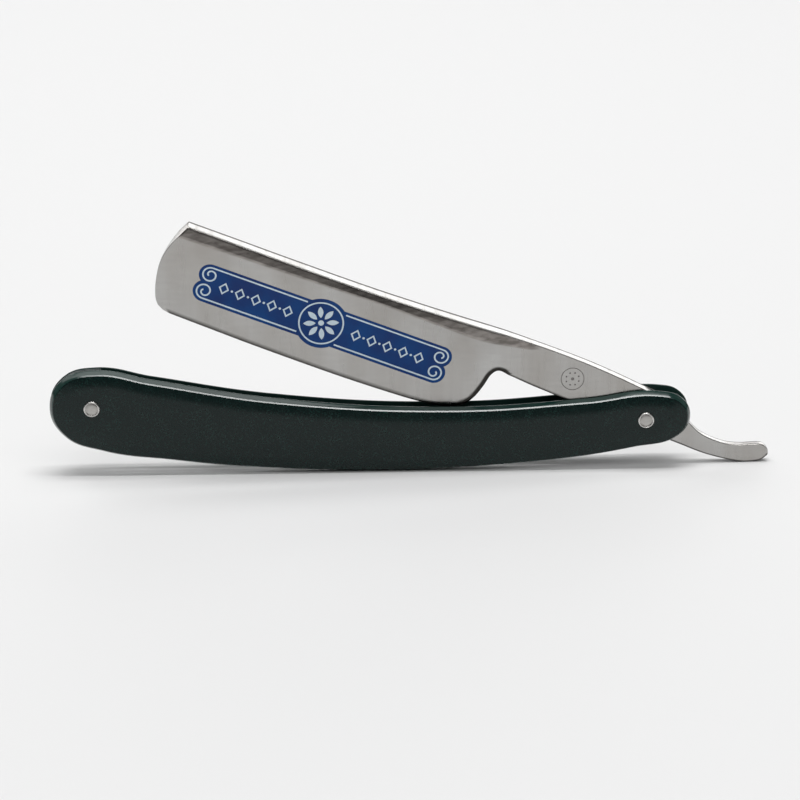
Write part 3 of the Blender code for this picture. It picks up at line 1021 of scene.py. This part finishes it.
def noise(tree, coords, scale, detail=3.0, stretch=(1.0, 1.0, 1.0), turn=0.0):
    """Noise over the object's own coordinates, turned and then scaled along each axis when asked."""
    mapping = node(tree, "ShaderNodeMapping")
    mapping.inputs["Scale"].default_value = stretch
    mapping.inputs["Rotation"].default_value = (0.0, turn, 0.0)
    tree.links.new(coords, mapping.inputs["Vector"])
    made = node(tree, "ShaderNodeTexNoise")
    made.inputs["Scale"].default_value = scale
    made.inputs["Detail"].default_value = detail
    tree.links.new(mapping.outputs["Vector"], made.inputs["Vector"])
    return made.outputs["Fac"]


def ramp(tree, value, low, high, low_to, high_to):
    made = node(tree, "ShaderNodeMapRange")
    made.inputs["From Min"].default_value = low
    made.inputs["From Max"].default_value = high
    made.inputs["To Min"].default_value = low_to
    made.inputs["To Max"].default_value = high_to
    tree.links.new(value, made.inputs["Value"])
    return made.outputs["Result"]


def spread(tree, noise_value, low_to, high_to):
    """The middle of a noise's range, stretched to another range."""
    return ramp(tree, noise_value, 0.3, 0.7, low_to, high_to)


def feed(tree, socket, value):
    """Sets a socket to a colour or a number, or links another node's output to it."""
    if isinstance(value, tuple):
        socket.default_value = (*value, 1.0)
    elif isinstance(value, float):
        socket.default_value = value
    else:
        tree.links.new(value, socket)


def mix_colour(tree, share, first, second):
    made = node(tree, "ShaderNodeMix", data_type="RGBA")
    feed(tree, made.inputs[0], share)
    feed(tree, made.inputs[6], first)
    feed(tree, made.inputs[7], second)
    return made.outputs[2]


def mix_value(tree, share, first, second):
    made = node(tree, "ShaderNodeMix", data_type="FLOAT")
    feed(tree, made.inputs[0], share)
    feed(tree, made.inputs[2], first)
    feed(tree, made.inputs[3], second)
    return made.outputs[0]


def multiply(tree, first, second):
    made = node(tree, "ShaderNodeMath", operation="MULTIPLY")
    feed(tree, made.inputs[0], first)
    feed(tree, made.inputs[1], second)
    return made.outputs[0]


def object_coords(tree):
    return node(tree, "ShaderNodeTexCoord").outputs["Object"]


def mesh_value(tree, name):
    """A value that the mesh keeps at its points."""
    return node(tree, "ShaderNodeAttribute", attribute_name=name).outputs["Fac"]


def paint(tree, shader, colour, roughness=None):
    """Links a colour, and a roughness where it varies, to the shader."""
    tree.links.new(colour, shader.inputs["Base Color"])
    if roughness:
        tree.links.new(roughness, shader.inputs["Roughness"])


def bump(tree, shader, height, strength, distance):
    made = node(tree, "ShaderNodeBump")
    made.inputs["Strength"].default_value = strength
    made.inputs["Distance"].default_value = distance
    tree.links.new(height, made.inputs["Height"])
    tree.links.new(made.outputs["Normal"], shader.inputs["Normal"])


def blade_steel():
    """Finely ground steel: faint scratches, soft warm clouds, a darker mottled flank that is partly painted
    dark reflection, and two edge lines of painted shade.
    """
    material, shader = new_material("blade_steel_ground", (0.43, 0.42, 0.4), 0.2, 1.0)
    tree = material.node_tree
    coords = object_coords(tree)
    flank = mesh_value(tree, "flank")
    brow = mesh_value(tree, "brow")
    clouds = noise(tree, coords, 45.0, 3.0, (1.6, 1.0, 0.8), OPEN_ANGLE)
    grain = noise(tree, coords, 1400.0, 3.0, (0.12, 1.0, 1.0), OPEN_ANGLE)
    scratches = noise(tree, coords, 900.0, 4.0, (1.0, 0.1, 0.05), OPEN_ANGLE)
    mottle = noise(tree, coords, 650.0, 6.0, (0.5, 1.0, 1.6), OPEN_ANGLE)
    body = mix_colour(tree, spread(tree, clouds, 0.0, 1.0), STEEL_WARM, STEEL_COOL)
    body = mix_colour(tree, spread(tree, grain, 0.0, 0.18), body, STEEL_GRAIN)
    # The flank's mottle: a rougher finish, with its darkness partly painted dark reflection.
    flank_finish_and_shade = mix_colour(tree, ramp(tree, mottle, 0.35, 0.65, 0.0, 1.0), FLANK_DARK, FLANK_PALE)
    colour = mix_colour(tree, flank, body, flank_finish_and_shade)
    # Painted shade along the lower outline and down the heel's wall.
    colour = mix_colour(tree, mesh_value(tree, "lower"), colour, LINE_PAINTED_SHADE)
    # The spine's satin rear edge: rough satin, painted darker as painted shade.
    colour = mix_colour(tree, brow, colour, BROW_PAINTED_SHADE)
    rough = mix_value(tree, flank, spread(tree, scratches, 0.16, 0.3), 0.24)
    paint(tree, shader, colour, mix_value(tree, brow, rough, 0.85))
    bump(tree, shader, mix_value(tree, flank, scratches, 0.5), 0.1, 0.00002)
    return material


def pearl_flecks(tree, coords):
    """How far each tiny cell of the plastic is a fleck: few are, and more so in soft clouds."""
    cells = node(tree, "ShaderNodeTexVoronoi")
    cells.inputs["Scale"].default_value = 3600.0
    tree.links.new(coords, cells.inputs["Vector"])
    shade = node(tree, "ShaderNodeSeparateColor")
    tree.links.new(cells.outputs["Color"], shade.inputs["Color"])
    bright = ramp(tree, shade.outputs["Red"], 0.7, 1.0, 0.0, 1.0)
    clouds = noise(tree, coords, 240.0, 4.0)
    return multiply(tree, bright, ramp(tree, clouds, 0.35, 0.7, 0.1, 0.75))


def scale_plastic(name, roughness, ior=FACE_IOR):
    """Very dark green plastic with faint pearl flecks; on the rim a paler, streaked colour that is painted
    sheen.
    """
    low, high, at_rim = roughness
    material, shader = new_material(name, (0.003, 0.012, 0.01), low)
    shader.inputs["IOR"].default_value = ior
    tree = material.node_tree
    coords = object_coords(tree)
    rim = mesh_value(tree, "rim")
    streaks = noise(tree, coords, 700.0, 3.0, (0.15, 1.0, 1.0))
    fine = noise(tree, coords, 420.0, 3.0)
    face = mix_colour(tree, pearl_flecks(tree, coords), PLASTIC_DEEP, PLASTIC_FLECK)
    # The rim's paler, streaked colour is painted sheen.
    rim_painted_sheen = mix_colour(tree, spread(tree, streaks, 0.0, 1.0), RIM_SHEEN_DARK, RIM_SHEEN_PALE)
    rough = mix_value(tree, rim, spread(tree, fine, low, high), at_rim)
    paint(tree, shader, mix_colour(tree, rim, face, rim_painted_sheen), rough)
    bump(tree, shader, fine, 0.03, 0.00002)
    return material


def collar_steel():
    """Polished steel with faint marks of handling."""
    material, shader = new_material("pin_metal_polished", (0.62, 0.61, 0.59), 0.3, 1.0)
    tree = material.node_tree
    dents = noise(tree, object_coords(tree), 2600.0, 4.0)
    paint(tree, shader, mix_colour(tree, dents, PIN_DARK, PIN_PALE), spread(tree, dents, 0.2, 0.32))
    bump(tree, shader, dents, 0.12, 0.00006)
    return material


def peened_steel():
    """The pin's hammered ends, rougher and a little darker than the collars."""
    material, shader = new_material("pin_metal_peened", (0.5, 0.49, 0.47), 0.3, 1.0)
    tree = material.node_tree
    dents = noise(tree, object_coords(tree), 1500.0, 4.0)
    paint(tree, shader, mix_colour(tree, dents, PEENED_DARK, PEENED_PALE), spread(tree, dents, 0.3, 0.5))
    bump(tree, shader, dents, 0.5, 0.00006)
    return material


def washer_brass():
    material, shader = new_material("washer_brass_satin", (0.72, 0.55, 0.27), 0.3, 1.0)
    tree = material.node_tree
    cast = noise(tree, object_coords(tree), 1800.0, 4.0)
    paint(tree, shader, mix_colour(tree, cast, BRASS_DARK, BRASS_PALE), spread(tree, cast, 0.25, 0.42))
    return material


def panel_blue():
    """Blue fill, uneven as it settles in a shallow etch."""
    material, shader = new_material("panel_fill_blue", (0.008, 0.06, 0.27), 0.4)
    shader.inputs["Specular IOR Level"].default_value = 0.15
    tree = material.node_tree
    clouds = noise(tree, object_coords(tree), 120.0, 5.0)
    share = ramp(tree, clouds, 0.35, 0.65, 0.0, 1.0)
    paint(tree, shader, mix_colour(tree, share, BLUE_DEEP, BLUE_BRIGHT))
    bump(tree, shader, clouds, 0.1, 0.00003)
    return material


def panel_pale():
    """The panel's lines, where the bright etched steel shows through."""
    material, shader = new_material("panel_line_pale", (0.6, 0.72, 0.8), 0.4, 0.2)
    tree = material.node_tree
    grain = noise(tree, object_coords(tree), 1200.0, 3.0)
    paint(tree, shader, mix_colour(tree, grain, PALE_LOW, PALE_HIGH))
    return material


def stamp_dark():
    """The shaded bottom of a struck mark."""
    material, shader = new_material("stamp_shade", (0.2, 0.195, 0.185), 0.4, 1.0)
    tree = material.node_tree
    grain = noise(tree, object_coords(tree), 1400.0, 4.0)
    paint(tree, shader, mix_colour(tree, grain, STAMP_DARK, STAMP_PALE))
    return material


# --- Studio ---------------------------------------------------------------------------------------


def make_camera():
    direction = Vector(
        (
            math.sin(CAMERA_AZIMUTH) * math.cos(CAMERA_ELEVATION),
            -math.cos(CAMERA_AZIMUTH) * math.cos(CAMERA_ELEVATION),
            math.sin(CAMERA_ELEVATION),
        )
    )
    camera = bpy.data.objects.new("camera", bpy.data.cameras.new("camera"))
    camera.data.lens = CAMERA_LENS
    camera.data.sensor_width = SENSOR_WIDTH
    camera.data.clip_start = CLIP_START
    camera.rotation_mode = "QUATERNION"
    roll = Quaternion((0.0, 0.0, 1.0), -CAMERA_ROLL)
    camera.rotation_quaternion = (-direction).to_track_quat("-Z", "Y") @ roll
    camera.location = CAMERA_TARGET + direction * CAMERA_DISTANCE
    bpy.context.scene.collection.objects.link(camera)
    bpy.context.scene.camera = camera


def make_floor():
    corners = [(-1.0, -1.0), (1.0, -1.0), (1.0, 1.0), (-1.0, 1.0)]
    points = [(x * FLOOR_HALF, y * FLOOR_HALF, 0.0) for x, y in corners]
    floor = new_object("floor", mesh_from("floor", points, [(0, 1, 2, 3)], smooth=False))
    material, shader = new_material("floor_pale", (0.8, 0.8, 0.8), 0.6)
    shader.inputs["Specular IOR Level"].default_value = 0.2
    floor.data.materials.append(material)


def area_light(name, place, target, size, radiance):
    light = bpy.data.lights.new(name, "AREA")
    light.shape = "RECTANGLE"
    light.size, light.size_y = size
    light.energy = radiance * math.pi * size[0] * size[1]
    obj = bpy.data.objects.new(name, light)
    obj.location = place
    obj.rotation_mode = "QUATERNION"
    obj.rotation_quaternion = (Vector(target) - Vector(place)).to_track_quat("-Z", "Y")
    obj.visible_camera = False
    bpy.context.scene.collection.objects.link(obj)


def make_lights():
    world = bpy.data.worlds.new("studio")
    world.use_nodes = True
    world.node_tree.nodes["Background"].inputs["Color"].default_value = (1.0, 1.0, 1.0, 1.0)
    world.node_tree.nodes["Background"].inputs["Strength"].default_value = WORLD_STRENGTH
    bpy.context.scene.world = world
    for name, place, target, size, radiance in LIGHTS:
        area_light(name, place, target, size, radiance)
    bpy.context.scene.view_settings.view_transform = "Standard"


# --- Assembly -------------------------------------------------------------------------------------


def dress_blade():
    blade = make_blade(blade_steel())
    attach(blade, "blade")
    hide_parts("blade")
    field, lines = make_panel(panel_blue(), panel_pale())
    for piece in (field, lines):
        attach(piece, "blade")
    stamp = make_stamp(stamp_dark())
    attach(stamp, "blade")


def dress_handle():
    plastic = scale_plastic("scale_plastic_polished", POLISHED)
    # The rim's material, whose paler colour is painted sheen.
    rim_painted_sheen = scale_plastic("scale_plastic_rim_painted_sheen", POLISHED, RIM_IOR)
    for label, side in (("front", -1.0), ("rear", 1.0)):
        scale = make_scale(label + "_scale_polished", side, plastic, rim_painted_sheen)
        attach(scale, "handle")
        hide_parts(label + "_scale")
    for piece, replaced in make_pins(collar_steel(), peened_steel()):
        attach(piece, "handle")
        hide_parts(replaced)
    spacer = make_spacer(scale_plastic("scale_plastic_sanded", SANDED))
    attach(spacer, "handle")
    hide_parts("wedge_spacer")
    brass = washer_brass()
    for name in ("pivot_washer_front", "pivot_washer_rear"):
        slots = frame["nodes"][name].data.materials
        slots.clear()
        slots.append(brass)


make_camera()
make_floor()
make_lights()
dress_blade()
dress_handle()
